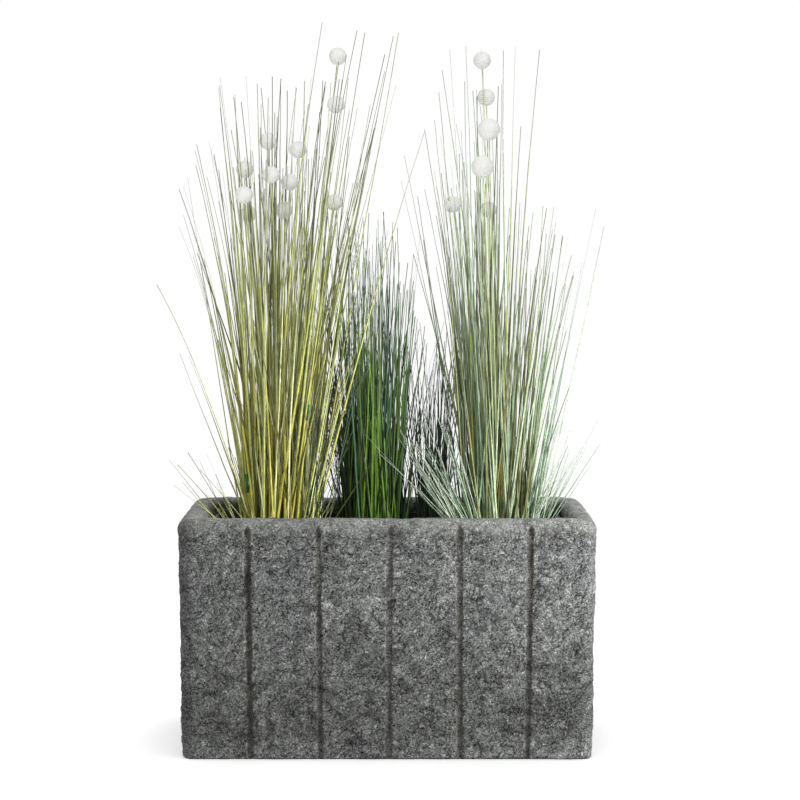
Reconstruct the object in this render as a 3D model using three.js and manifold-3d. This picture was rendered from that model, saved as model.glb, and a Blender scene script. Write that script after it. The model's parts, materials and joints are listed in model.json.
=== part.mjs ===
// A stone-effect planter box with potted artificial grasses and pompom flowers.
// Millimetres, +Z up. The origin is the centre of the underside. The long front face looks along -Y.

import * as THREE from 'three';
import { mergeVertices } from 'three/addons/utils/BufferGeometryUtils.js';
import Module from 'manifold-3d';

const wasm = await Module();
wasm.setup();

// ---------------------------------------------------------------- driving dimensions

const SHELL = {
  length: 800,
  depth: 400,
  height: 460,
  draft: 7, // each face leans in by this much at the base
  cornerRadius: 30,
  tightCornerRadius: 16, // corners of the opening and of the inner faces
  footChamfer: 6,
  floorThickness: 14,
  wallThickness: 10,
  rimWidth: 45,
  rimThickness: 14,
  rimOuterRadius: 22,
  rimInnerRadius: 12,
  lipBottom: 400,
  drainHoleRadius: 12,
  drainHoleX: 250,
};

const GROOVE = {
  radius: 6, // half-round section, so this is the depth too
  top: 446,
  panelsAlongLength: 6,
  panelsAlongDepth: 3,
};

const LINER = {
  bottom: 14.4,
  top: 433,
  halfLengthTop: 345,
  halfDepthTop: 145,
  taper: 5,
  flangeReach: 5,
  flangeThickness: 3,
  wall: 2.5,
  cornerRadius: 14,
};

const RISER = { bottom: 17.4, top: 250, halfLength: 336.8, halfDepth: 136.8, cornerRadius: 12, wall: 2.5 };
const BARK = { bottom: 250.4, top: 400, halfLength: 339.2, halfDepth: 139.2, cornerRadius: 12, potGap: 1.2 };

const POT = {
  bottom: 250.4,
  top: 410,
  taper: 10,
  wall: 2.5,
  floor: 3,
  lipReach: 4,
  lipBottom: 402,
};

const FILLING = { bottom: 253.9, top: 398, gap: 0.4 };
const PLUG = { radius: 15, bottom: 368.4, top: 404, sides: 14, socketBottom: 368, socketGap: 0.8 };
const STEM = { radius: 1.5, bottom: 378.4, socketBottom: 378, socketRadius: 2.4 };

const BLADE = {
  halfWidth: 4, // at the root
  tipScale: 0.15,
  flatness: 0.5,
  rootHeight: 372,
  steps: 7,
  rootSpread: 11,
  unevenness: 0.18, // the shortest blade ends this share of the height below the tallest
  count: 9,
};

// How a plant opens out above its pot.
const FAN = { gain: 2.6, exponent: 1.3, edgeGain: 0.6, edgeRadius: 60 };

// Plants: where each stands, how wide its pot is, how far it drifts sideways over a metre of height, and its
// bunches: where each is rooted about the plant's centre, and the height of its tallest blade.
const PLANTS = {
  left: {
    x: -211,
    y: -10,
    potRadius: 88,
    drift: -30,
    bunches: [
      { x: -47, y: -22, tip: 1150 },
      { x: -24, y: 32, tip: 1340 },
      { x: 28, y: -28, tip: 1400 },
      { x: -12, y: -14, tip: 1385 },
    ],
  },
  centre: {
    x: -25,
    y: 30,
    potRadius: 74,
    drift: 0,
    bunches: [
      { x: -25, y: 2, tip: 965 },
      { x: 18, y: -20, tip: 1004 },
      { x: 14, y: 22, tip: 985 },
    ],
  },
  rear: {
    x: 90,
    y: 85,
    potRadius: 40,
    drift: 0,
    bunches: [{ x: 0, y: 0, tip: 812 }],
  },
  right: {
    x: 225,
    y: -10,
    potRadius: 88,
    drift: 0,
    bunches: [
      { x: 41, y: -18, tip: 1140 },
      { x: 20, y: 32, tip: 1330 },
      { x: -23, y: 26, tip: 1392 },
      { x: -16, y: -24, tip: 1370 },
    ],
  },
};

// Pompoms: place across (x) and up (z), radius, and which side of the plant's middle the stem prefers.
const POMPOM_RADIUS = 17;
const WIDE_POMPOM_RADIUS = 21;
const POMPOMS = {
  left: [
    { x: -96, z: 1349, radius: POMPOM_RADIUS, side: -1 },
    { x: -99, z: 1254, radius: POMPOM_RADIUS, side: -1 },
    { x: -233, z: 1185, radius: POMPOM_RADIUS, side: 1 },
    { x: -174, z: 1168, radius: POMPOM_RADIUS, side: 1 },
    { x: -280, z: 1130, radius: POMPOM_RADIUS, side: 1 },
    { x: -190, z: 1104, radius: POMPOM_RADIUS, side: -1 },
    { x: -222, z: 1116, radius: POMPOM_RADIUS, side: -1 },
    { x: -273, z: 1077, radius: POMPOM_RADIUS, side: -1 },
    { x: -282, z: 1045, radius: POMPOM_RADIUS, side: 1 },
    { x: -202, z: 1050, radius: POMPOM_RADIUS, side: 1 },
    { x: -103, z: 1065, radius: POMPOM_RADIUS, side: -1 },
  ],
  right: [
    { x: 186, z: 1341, radius: POMPOM_RADIUS, side: -1 },
    { x: 195, z: 1271, radius: POMPOM_RADIUS, side: 1 },
    { x: 192, z: 1198, radius: WIDE_POMPOM_RADIUS, side: -1 },
    { x: 180, z: 1128, radius: WIDE_POMPOM_RADIUS, side: -1 },
    { x: 129, z: 1061, radius: POMPOM_RADIUS, side: -1 },
    { x: 205, z: 1053, radius: POMPOM_RADIUS, side: 1 },
  ],
};

const TOUCH_GAP = 0.3;

// ---------------------------------------------------------------- materials

function material(color, roughness) {
  return new THREE.MeshStandardMaterial({ color, roughness, metalness: 0 });
}

const MATERIALS = {
  stone: material(0x6a6b69, 0.9),
  blackPlastic: material(0x141414, 0.55),
  bark: material(0x2a221b, 1.0),
  cement: material(0x3a3733, 0.95),
  grassLeft: material(0x8b9244, 0.6),
  grassCentre: material(0x37522a, 0.6),
  grassRear: material(0x39423a, 0.65),
  grassRight: material(0x86a184, 0.6),
  stem: material(0x8f9477, 0.6),
  pompom: material(0xe1e0da, 1.0),
};

// ---------------------------------------------------------------- solids and booleans

function toSolid(geometry) {
  const bare = geometry.clone();
  bare.deleteAttribute('normal');
  bare.deleteAttribute('uv');
  const merged = mergeVertices(bare, 1e-4);
  return new wasm.Manifold(new wasm.Mesh({
    numProp: 3,
    vertProperties: new Float32Array(merged.attributes.position.array),
    triVerts: new Uint32Array(merged.index.array),
  }));
}

function fromSolid(solid) {
  const mesh = solid.getMesh();
  const geometry = new THREE.BufferGeometry();
  geometry.setAttribute('position', new THREE.BufferAttribute(new Float32Array(mesh.vertProperties), 3));
  geometry.setIndex(new THREE.BufferAttribute(new Uint32Array(mesh.triVerts), 1));
  geometry.computeVertexNormals();
  return geometry;
}

function cut(solid, cutters) {
  return cutters.reduce((rest, cutter) => rest.subtract(toSolid(cutter)), solid);
}

function join(geometries) {
  return geometries.map(toSolid).reduce((whole, piece) => whole.add(piece));
}

// An upright cylinder or cone from one height to another.
function uprightCylinder(x, y, radiusBottom, radiusTop, bottom, top, sides) {
  const cylinder = new THREE.CylinderGeometry(radiusTop, radiusBottom, top - bottom, sides);
  cylinder.rotateX(Math.PI / 2);
  cylinder.translate(x, y, (bottom + top) / 2);
  return cylinder;
}

// ---------------------------------------------------------------- lofted rounded boxes

const CORNER_STEPS = 5;

// One level ring: a rectangle with rounded corners, counter-clockwise from above.
function roundedRing({ halfX, halfY, radius, z }) {
  const ring = [];
  const corners = [[1, 1], [-1, 1], [-1, -1], [1, -1]];
  corners.forEach(([signX, signY], corner) => {
    for (let step = 0; step <= CORNER_STEPS; step += 1) {
      const angle = (corner + step / CORNER_STEPS) * Math.PI / 2;
      ring.push(new THREE.Vector3(
        signX * (halfX - radius) + radius * Math.cos(angle),
        signY * (halfY - radius) + radius * Math.sin(angle),
        z,
      ));
    }
  });
  return ring;
}

// Skins a run of rings and closes its first ring downwards and its last ring upwards.
function loft(levels) {
  const rings = levels.map(roundedRing);
  const around = rings[0].length;
  const points = rings.flat();
  const triangles = [];
  for (let level = 0; level + 1 < rings.length; level += 1) {
    for (let k = 0; k < around; k += 1) {
      const here = level * around + k;
      const next = level * around + (k + 1) % around;
      triangles.push(here, next, next + around);
      triangles.push(here, next + around, here + around);
    }
  }
  const lastStart = (rings.length - 1) * around;
  const firstCentre = points.length;
  points.push(new THREE.Vector3(0, 0, levels[0].z));
  points.push(new THREE.Vector3(0, 0, levels[levels.length - 1].z));
  for (let k = 0; k < around; k += 1) {
    const next = (k + 1) % around;
    triangles.push(firstCentre, next, k);
    triangles.push(firstCentre + 1, lastStart + k, lastStart + next);
  }
  const geometry = new THREE.BufferGeometry().setFromPoints(points);
  geometry.setIndex(triangles);
  return geometry;
}


// ---------------------------------------------------------------- the shell

function shellLevel(inset, z) {
  return {
    halfX: SHELL.length / 2 - inset,
    halfY: SHELL.depth / 2 - inset,
    radius: Math.max(SHELL.cornerRadius - inset, SHELL.tightCornerRadius),
    z,
  };
}

// A quarter round of the rim, from one angle to another about its own centre.
function rimArc(centreInset, centreZ, radius, fromAngle, toAngle, steps) {
  const levels = [];
  for (let step = 0; step <= steps; step += 1) {
    const angle = THREE.MathUtils.lerp(fromAngle, toAngle, step / steps);
    levels.push(shellLevel(centreInset + radius * Math.cos(angle), centreZ + radius * Math.sin(angle)));
  }
  return levels;
}

function shellBody() {
  const { height, rimWidth, rimOuterRadius, rimInnerRadius, wallThickness } = SHELL;
  const lipBackInset = rimWidth - wallThickness;
  const underRim = height - SHELL.rimThickness;
  return loft([
    shellLevel(SHELL.draft + SHELL.footChamfer, 0),
    shellLevel(SHELL.draft, SHELL.footChamfer),
    ...rimArc(rimOuterRadius, height - rimOuterRadius, rimOuterRadius, Math.PI, Math.PI / 2, 5),
    ...rimArc(rimWidth - rimInnerRadius, height - rimInnerRadius, rimInnerRadius, Math.PI / 2, 0, 3),
    shellLevel(rimWidth, SHELL.lipBottom),
    shellLevel(lipBackInset, SHELL.lipBottom),
    shellLevel(lipBackInset, underRim),
    shellLevel(wallThickness + 6, underRim),
    shellLevel(wallThickness, underRim - 6),
    shellLevel(SHELL.draft + wallThickness, SHELL.floorThickness),
  ]);
}

// A half-round groove cutter that leans with the drafted face it runs down.
function grooveCutter(alongX, alongY, inwardX, inwardY) {
  const overrun = 4;
  const cutter = uprightCylinder(0, 0, GROOVE.radius, GROOVE.radius, -overrun, GROOVE.top, 8);
  const faceHeight = SHELL.height - SHELL.rimOuterRadius;
  const position = cutter.attributes.position;
  for (let k = 0; k < position.count; k += 1) {
    const lean = SHELL.draft * (1 - position.getZ(k) / faceHeight);
    position.setX(k, position.getX(k) + alongX + inwardX * lean);
    position.setY(k, position.getY(k) + alongY + inwardY * lean);
  }
  return cutter;
}

function grooveCutters() {
  const cutters = [];
  const panelLength = SHELL.length / GROOVE.panelsAlongLength;
  for (let k = 1; k < GROOVE.panelsAlongLength; k += 1) {
    const x = k * panelLength - SHELL.length / 2;
    for (const side of [-1, 1]) {
      cutters.push(grooveCutter(x, side * SHELL.depth / 2, 0, -side));
    }
  }
  const panelDepth = SHELL.depth / GROOVE.panelsAlongDepth;
  for (let k = 1; k < GROOVE.panelsAlongDepth; k += 1) {
    const y = k * panelDepth - SHELL.depth / 2;
    for (const side of [-1, 1]) {
      cutters.push(grooveCutter(side * SHELL.length / 2, y, -side, 0));
    }
  }
  return cutters;
}

function planterShell() {
  const drains = [-1, 1].map((side) => uprightCylinder(
    side * SHELL.drainHoleX, 0, SHELL.drainHoleRadius, SHELL.drainHoleRadius,
    -1, SHELL.floorThickness + 1, 16,
  ));
  return fromSolid(cut(toSolid(shellBody()), [...grooveCutters(), ...drains]));
}

// ---------------------------------------------------------------- the insert

function linerLevel(inset, z) {
  return {
    halfX: LINER.halfLengthTop - inset,
    halfY: LINER.halfDepthTop - inset,
    radius: LINER.cornerRadius,
    z,
  };
}

function liner() {
  const { bottom, top, taper, wall, flangeReach, flangeThickness } = LINER;
  return loft([
    linerLevel(taper, bottom),
    linerLevel(0, top - flangeThickness),
    linerLevel(-flangeReach, top - flangeThickness),
    linerLevel(-flangeReach, top),
    linerLevel(wall, top),
    linerLevel(taper + wall, bottom + wall),
  ]);
}

// An upturned tray, open below, that the pots and the bark stand on.
function riser() {
  const { halfLength, halfDepth, cornerRadius, wall, bottom, top } = RISER;
  const outer = { halfX: halfLength, halfY: halfDepth, radius: cornerRadius };
  const inner = { halfX: halfLength - wall, halfY: halfDepth - wall, radius: cornerRadius - wall };
  return loft([
    { ...inner, z: top - wall },
    { ...inner, z: bottom },
    { ...outer, z: bottom },
    { ...outer, z: top },
  ]);
}

function barkFill() {
  const outline = { halfX: BARK.halfLength, halfY: BARK.halfDepth, radius: BARK.cornerRadius };
  const block = loft([{ ...outline, z: BARK.bottom }, { ...outline, z: BARK.top }]);
  const holes = Object.values(PLANTS).map((plant) => {
    const radius = plant.potRadius + BARK.potGap;
    return uprightCylinder(plant.x, plant.y, radius, radius, BARK.bottom - 1, BARK.top + 1, 24);
  });
  return fromSolid(cut(toSolid(block), holes));
}

// ---------------------------------------------------------------- pots and their filling

function pot(plant) {
  const outer = plant.potRadius;
  const foot = outer - POT.taper;
  const profile = [
    [0, POT.bottom],
    [foot, POT.bottom],
    [outer, POT.lipBottom],
    [outer + POT.lipReach, POT.lipBottom],
    [outer + POT.lipReach, POT.top],
    [outer - POT.wall, POT.top],
    [foot - POT.wall, POT.bottom + POT.floor],
    [0, POT.bottom + POT.floor],
  ].map(([radius, z]) => new THREE.Vector2(radius, z));
  const body = new THREE.LatheGeometry(profile, 24);
  body.rotateX(Math.PI / 2);
  body.translate(plant.x, plant.y, 0);
  return fromSolid(toSolid(body));
}

// Inner radius of a pot's wall at a height.
function potInnerRadius(plant, z) {
  const share = (z - POT.bottom - POT.floor) / (POT.top - POT.bottom - POT.floor);
  return plant.potRadius - POT.wall - POT.taper * (1 - share);
}

function filling(plant, stems) {
  const { bottom, top, gap } = FILLING;
  const body = uprightCylinder(
    plant.x, plant.y, potInnerRadius(plant, bottom) - gap, potInnerRadius(plant, top) - gap, bottom, top, 24,
  );
  const socketRadius = PLUG.radius + PLUG.socketGap;
  const plugSockets = plant.bunches.map(({ x, y }) => uprightCylinder(
    plant.x + x, plant.y + y, socketRadius, socketRadius, PLUG.socketBottom, top + 1, PLUG.sides,
  ));
  const stemSockets = stems.map(({ root }) => uprightCylinder(
    plant.x + root.x, plant.y + root.y, STEM.socketRadius, STEM.socketRadius, STEM.socketBottom, top + 1, 6,
  ));
  return fromSolid(cut(toSolid(body), [...plugSockets, ...stemSockets]));
}

// ---------------------------------------------------------------- grass and stems

// Where a blade or stem rooted at `root` (about the plant's centre) has got to at height z. Roots further out
// lean further out, and no two roots ever cross.
function fanPoint(plant, root, z) {
  const rise = Math.max(0, (z - PLUG.top) / 1000);
  const edge = 1 + FAN.edgeGain * root.length() / FAN.edgeRadius;
  const spread = 1 + FAN.gain * rise ** FAN.exponent * edge;
  return new THREE.Vector3(
    plant.x + plant.drift * rise ** FAN.exponent + root.x * spread,
    plant.y + root.y * spread,
    z,
  );
}

// Height at a share of a rod's length. Its first step is the straight stretch below the plug's top.
function rodHeight(share, bottom, top, steps) {
  const straight = 1 / steps;
  return share <= straight
    ? THREE.MathUtils.lerp(bottom, PLUG.top, share / straight)
    : THREE.MathUtils.lerp(PLUG.top, top, (share - straight) / (1 - straight));
}

// A slim upright rod, tapering from root to tip and bent along the plant's fan.
function bentRod(plant, { root, bottom, top, radius, tipScale, flatness, sides, steps, turn }) {
  const rod = new THREE.CylinderGeometry(tipScale, 1, 1, sides, steps);
  const position = rod.attributes.position;
  for (let k = 0; k < position.count; k += 1) {
    const share = position.getY(k) + 0.5;
    const centre = fanPoint(plant, root, rodHeight(share, bottom, top, steps));
    const across = position.getX(k) * radius;
    const through = -position.getZ(k) * radius * flatness;
    position.setXYZ(
      k,
      centre.x + across * Math.cos(turn) - through * Math.sin(turn),
      centre.y + across * Math.sin(turn) + through * Math.cos(turn),
      centre.z,
    );
  }
  return rod;
}

const GOLDEN_ANGLE = Math.PI * (3 - Math.sqrt(5));
const GOLDEN_SHARE = 0.618034;

// The blades of one bunch: roots in a sunflower pattern, tips at uneven heights, the outermost the tallest.
function bunchBlades(bunch) {
  const outward = Math.atan2(bunch.y, bunch.x);
  const blades = [];
  for (let k = 0; k < BLADE.count; k += 1) {
    const reach = BLADE.rootSpread * Math.sqrt((BLADE.count - k) / BLADE.count);
    const angle = outward + k * GOLDEN_ANGLE;
    const root = new THREE.Vector2(
      bunch.x + reach * Math.cos(angle),
      bunch.y + reach * Math.sin(angle),
    );
    const shortfall = BLADE.unevenness * ((k * GOLDEN_SHARE) % 1);
    blades.push({ root, top: bunch.tip - shortfall * (bunch.tip - PLUG.top) });
  }
  return blades;
}

function grass(plant, bunch) {
  const plug = uprightCylinder(
    plant.x + bunch.x, plant.y + bunch.y, PLUG.radius, PLUG.radius, PLUG.bottom, PLUG.top, PLUG.sides,
  );
  const blades = bunchBlades(bunch).map(({ root, top }) => bentRod(plant, {
    root,
    bottom: BLADE.rootHeight,
    top,
    radius: BLADE.halfWidth,
    tipScale: BLADE.tipScale,
    flatness: BLADE.flatness,
    sides: 3,
    steps: BLADE.steps,
    turn: Math.atan2(root.y, root.x) + Math.PI / 2,
  }));
  return fromSolid(join([plug, ...blades]));
}

// ---------------------------------------------------------------- pompoms

// The root that brings a stem to a wanted x at a wanted height, for a given root y.
function rootForStem(plant, x, z, rootY) {
  const root = new THREE.Vector2((x - plant.x) / 3, rootY);
  for (let pass = 0; pass < 20; pass += 1) {
    root.x += (x - fanPoint(plant, root, z).x) / 3;
  }
  return root;
}

// The least free space, in plan, between a stem with its pompom and everything already in the plant.
function stemClearance(plant, candidate, obstacles) {
  let least = Infinity;
  const ballBottom = candidate.z - candidate.radius;
  const ballTop = candidate.z + candidate.radius;
  for (const other of obstacles) {
    for (let z = PLUG.top; z <= Math.min(ballTop, other.top); z += 15) {
      const between = fanPoint(plant, candidate.root, z).distanceTo(fanPoint(plant, other.root, z));
      const own = z >= ballBottom ? candidate.radius : STEM.radius;
      const otherOwn = other.radius !== undefined && z >= other.ballBottom ? other.radius : other.halfWidth;
      least = Math.min(least, between - own - otherOwn);
    }
  }
  return least;
}

// Gives each pompom stem of a plant the root, front to back, that keeps it clear of blades and other stems.
function placeStems(plant, pompoms) {
  const enough = 2.5;
  const reach = potInnerRadius(plant, FILLING.top) - 8;
  const obstacles = plant.bunches.flatMap(bunchBlades)
    .map((blade) => ({ ...blade, halfWidth: BLADE.halfWidth }));
  return pompoms.map((pompom) => {
    let best = null;
    for (let offset = 0; offset <= reach && (best === null || best.clearance < enough); offset += 1.5) {
      const root = rootForStem(plant, pompom.x, pompom.z, pompom.side * offset);
      const nearPlug = plant.bunches.some((bunch) => (
        Math.hypot(root.x - bunch.x, root.y - bunch.y) < PLUG.radius + PLUG.socketGap + STEM.socketRadius + 2
      ));
      if (nearPlug || root.length() > reach) continue;
      const candidate = { ...pompom, root };
      const clearance = stemClearance(plant, candidate, obstacles);
      if (best === null || clearance > best.clearance) best = { ...candidate, clearance };
    }
    obstacles.push({
      ...best,
      halfWidth: STEM.radius,
      top: best.z + best.radius,
      ballBottom: best.z - best.radius,
    });
    return best;
  });
}

function stem(plant, placed) {
  return fromSolid(toSolid(bentRod(plant, {
    root: placed.root,
    bottom: STEM.bottom,
    top: placed.z - placed.radius - TOUCH_GAP,
    radius: STEM.radius,
    tipScale: 0.8,
    flatness: 1,
    sides: 4,
    steps: 8,
    turn: 0,
  })));
}

function pompom(plant, placed) {
  const ball = new THREE.SphereGeometry(placed.radius, 9, 6);
  ball.rotateX(Math.PI / 2);
  const centre = fanPoint(plant, placed.root, placed.z);
  ball.translate(centre.x, centre.y, centre.z);
  return fromSolid(toSolid(ball));
}

// ---------------------------------------------------------------- assembly

const group = new THREE.Group();

function add(name, geometry, surface) {
  const mesh = new THREE.Mesh(geometry, surface);
  mesh.name = name;
  group.add(mesh);
}

add('planter_shell', planterShell(), MATERIALS.stone);
add('liner', fromSolid(toSolid(liner())), MATERIALS.blackPlastic);
add('riser', fromSolid(toSolid(riser())), MATERIALS.blackPlastic);
add('bark_fill', barkFill(), MATERIALS.bark);

const GRASS_MATERIALS = {
  left: MATERIALS.grassLeft,
  centre: MATERIALS.grassCentre,
  rear: MATERIALS.grassRear,
  right: MATERIALS.grassRight,
};

function twoDigits(index) {
  return String(index + 1).padStart(2, '0');
}

for (const [place, plant] of Object.entries(PLANTS)) {
  const stems = placeStems(plant, POMPOMS[place] ?? []);
  add(`pot_${place}`, pot(plant), MATERIALS.blackPlastic);
  add(`filling_${place}`, filling(plant, stems), MATERIALS.cement);
  plant.bunches.forEach((bunch, index) => {
    add(`grass_${place}_${index + 1}`, grass(plant, bunch), GRASS_MATERIALS[place]);
  });
  stems.forEach((placed, index) => {
    add(`stem_${place}_${twoDigits(index)}`, stem(plant, placed), MATERIALS.stem);
    add(`pompom_${place}_${twoDigits(index)}`, pompom(plant, placed), MATERIALS.pompom);
  });
}

export default group;
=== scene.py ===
import json
import random
from collections import namedtuple
from math import atan2, copysign, cos, hypot, pi, radians, sin, sqrt

import bpy
import numpy as np
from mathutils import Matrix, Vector, noise


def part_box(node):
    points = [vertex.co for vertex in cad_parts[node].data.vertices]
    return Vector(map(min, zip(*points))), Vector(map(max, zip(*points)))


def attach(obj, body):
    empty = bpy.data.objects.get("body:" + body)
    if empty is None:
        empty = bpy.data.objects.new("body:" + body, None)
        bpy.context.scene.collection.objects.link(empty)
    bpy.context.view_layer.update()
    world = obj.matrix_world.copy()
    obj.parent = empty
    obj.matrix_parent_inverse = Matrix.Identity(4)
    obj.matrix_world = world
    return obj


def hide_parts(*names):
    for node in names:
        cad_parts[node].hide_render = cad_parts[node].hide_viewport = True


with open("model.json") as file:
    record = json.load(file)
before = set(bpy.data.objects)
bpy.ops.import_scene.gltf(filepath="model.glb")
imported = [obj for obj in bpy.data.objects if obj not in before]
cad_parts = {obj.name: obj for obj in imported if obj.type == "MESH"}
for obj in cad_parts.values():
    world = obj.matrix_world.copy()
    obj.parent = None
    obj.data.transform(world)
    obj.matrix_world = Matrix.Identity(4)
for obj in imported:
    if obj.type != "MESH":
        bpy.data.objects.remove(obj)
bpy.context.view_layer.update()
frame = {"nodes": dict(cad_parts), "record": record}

scene = bpy.context.scene

# ---- dimensions, in metres

# The trough, as in the CAD: its outline, profile and grooves.
LENGTH = 0.8
DEPTH = 0.4
HEIGHT = 0.46
DRAFT = 0.007
CORNER_RADIUS = 0.03
TIGHT_CORNER_RADIUS = 0.016
FOOT_CHAMFER = 0.003
FLOOR_THICKNESS = 0.014
WALL_THICKNESS = 0.01
RIM_WIDTH = 0.045
RIM_THICKNESS = 0.014
RIM_OUTER_RADIUS = 0.022
RIM_INNER_RADIUS = 0.012
LIP_BOTTOM = 0.4
GROOVE_HALF_WIDTH = 0.0062
GROOVE_DEPTH = 0.006
GROOVE_TOP = 0.447
GROOVE_POINT = 0.008
PANELS_ALONG_LENGTH = 6
PANELS_ALONG_DEPTH = 3

# The rough stone face: how far its lumps, chips and grain stand out, and how big they are.
LUMP_HEIGHT = 0.0042
LUMP_SIZE = 0.06
SPLIT_HEIGHT = 0.0018
SPLIT_SIZE = 0.036
CHIP_HEIGHT = 0.0024
CHIP_SIZE = 0.015
GRAIN_HEIGHT = 0.0009
GRAIN_SIZE = 0.006
LEDGE_HEIGHT = 0.0018
RIM_BAND_BOTTOM = 0.434
RIM_BAND_ROUGHNESS = 0.34
CORNER_ROUGHNESS = 0.36

MESH_STEP = 0.0042
GROOVE_STEP = 0.0016
GROOVE_MARGIN = 0.01
FIXED_MARGIN = 0.012
INNER_WALL_STEP = 0.07

PLANTS = ("left", "centre", "rear", "right")

# ---- shader helpers


def new_material(name, roughness, specular, more=()):
    """A material with one principled shader. `more` holds further inputs of it."""
    material = bpy.data.materials.new(name)
    material.use_nodes = True
    bsdf = material.node_tree.nodes["Principled BSDF"]
    settings = {"Roughness": roughness, "Specular IOR Level": specular, **dict(more)}
    for key, value in settings.items():
        bsdf.inputs[key].default_value = value
    return material, material.node_tree, bsdf


def feed(tree, values, sockets, keys=None):
    """Gives sockets, or those with the keys, their values: other sockets, colours or other constants."""
    chosen = [sockets[key] for key in keys] if keys else sockets
    for value, socket in zip(values, chosen):
        if isinstance(value, bpy.types.NodeSocket):
            tree.links.new(value, socket)
        elif socket.type == "RGBA":
            socket.default_value = (*value, 1.0)
        else:
            socket.default_value = value


def object_coordinates(tree):
    return tree.nodes.new("ShaderNodeTexCoord").outputs["Object"]


def noise_node(tree, scale, coordinates=None, detail=2.0, roughness=0.5):
    """A noise node in object coordinates, so that its scale is in features per metre."""
    node = tree.nodes.new("ShaderNodeTexNoise")
    values = (coordinates or object_coordinates(tree), scale, detail, roughness)
    feed(tree, values, node.inputs, ("Vector", "Scale", "Detail", "Roughness"))
    return node


def noise_value(*arguments, **settings):
    return noise_node(*arguments, **settings).outputs["Fac"]


def cell_node(tree, coordinates, scale, feature="F1"):
    node = tree.nodes.new("ShaderNodeTexVoronoi")
    node.feature = feature
    feed(tree, (coordinates, scale), node.inputs, ("Vector", "Scale"))
    return node


def ramp(tree, factor, stops):
    """A colour ramp through (position, colour) stops."""
    node = tree.nodes.new("ShaderNodeValToRGB")
    elements = node.color_ramp.elements
    while len(elements) < len(stops):
        elements.new(0.5)
    for element, (position, colour) in zip(elements, stops):
        element.position = position
        element.color = (*colour, 1.0)
    tree.links.new(factor, node.inputs["Fac"])
    return node.outputs["Color"]


def mix(tree, factor, first, second, blend="MIX"):
    """Mixes two colours by a factor."""
    node = tree.nodes.new("ShaderNodeMix")
    node.data_type = "RGBA"
    node.blend_type = blend
    feed(tree, (factor, first, second), node.inputs, (0, 6, 7))
    return node.outputs[2]


def tinted(tree, colour, tint):
    return mix(tree, 1.0, colour, tint, "MULTIPLY")


def math_node(tree, operation, *values):
    node = tree.nodes.new("ShaderNodeMath")
    node.operation = operation
    feed(tree, values, node.inputs)
    return node.outputs[0]


def vector_node(tree, operation, *values):
    node = tree.nodes.new("ShaderNodeVectorMath")
    node.operation = operation
    feed(tree, values, node.inputs)
    return node.outputs["Value" if operation == "DOT_PRODUCT" else "Vector"]


def facets(tree, coordinates, scale):
    """Broken facets, about 1/scale metres wide, each tilted its own way."""
    cells = cell_node(tree, coordinates, scale)
    from_middle = vector_node(tree, "SUBTRACT", coordinates, cells.outputs["Position"])
    tilt = vector_node(tree, "SUBTRACT", cells.outputs["Color"], (0.5, 0.5, 0.5))
    rise = vector_node(tree, "DOT_PRODUCT", from_middle, tilt)
    return math_node(tree, "MULTIPLY_ADD", rise, scale, 0.5)


def streaked(tree, coordinates, slope, stretch):
    """Coordinates that draw a pattern out `stretch` times along lines that climb at `slope` radians."""
    run, rise = cos(slope), sin(slope)
    axes = [
        (run / stretch, run / stretch, rise / stretch),
        (-rise, -rise, run),
        (0.2, -0.2, 0.0),
    ]
    combine = tree.nodes.new("ShaderNodeCombineXYZ")
    feed(tree, [vector_node(tree, "DOT_PRODUCT", coordinates, axis) for axis in axes], combine.inputs)
    return combine.outputs["Vector"]


def map_range(tree, value, low, high, to_low, to_high, interpolation="SMOOTHSTEP"):
    node = tree.nodes.new("ShaderNodeMapRange")
    node.interpolation_type = interpolation
    keys = ("Value", "From Min", "From Max", "To Min", "To Max")
    feed(tree, (value, low, high, to_low, to_high), node.inputs, keys)
    return node.outputs["Result"]


def crease_shade_mask(tree, coordinates, scale, where):
    """Painted shade in short breaks between chips, only where the `where` noise is high: 1 in a break."""
    cells = cell_node(tree, coordinates, scale, "DISTANCE_TO_EDGE")
    line = map_range(tree, cells.outputs["Distance"], 0.0, 0.11, 1.0, 0.0)
    return math_node(tree, "MULTIPLY", line, map_range(tree, where, 0.47, 0.6, 0.0, 1.0))


def attribute_node(tree, name):
    node = tree.nodes.new("ShaderNodeAttribute")
    node.attribute_name = name
    return node


def attribute_parts(tree, name):
    """The red, green and blue of a colour attribute."""
    parts = tree.nodes.new("ShaderNodeSeparateColor")
    tree.links.new(attribute_node(tree, name).outputs["Color"], parts.inputs["Color"])
    return [parts.outputs[channel] for channel in ("Red", "Green", "Blue")]


def dress(tree, bsdf, colour, bumps):
    """Gives a shader its colour, and its normal from a stack of (height socket, metres) bumps."""
    tree.links.new(colour, bsdf.inputs["Base Color"])
    normal = None
    for height, distance in bumps:
        node = tree.nodes.new("ShaderNodeBump")
        feed(tree, (1.0, distance, height), node.inputs, ("Strength", "Distance", "Height"))
        if normal is not None:
            tree.links.new(normal, node.inputs["Normal"])
        normal = node.outputs["Normal"]
    tree.links.new(normal, bsdf.inputs["Normal"])


# ---- materials


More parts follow.
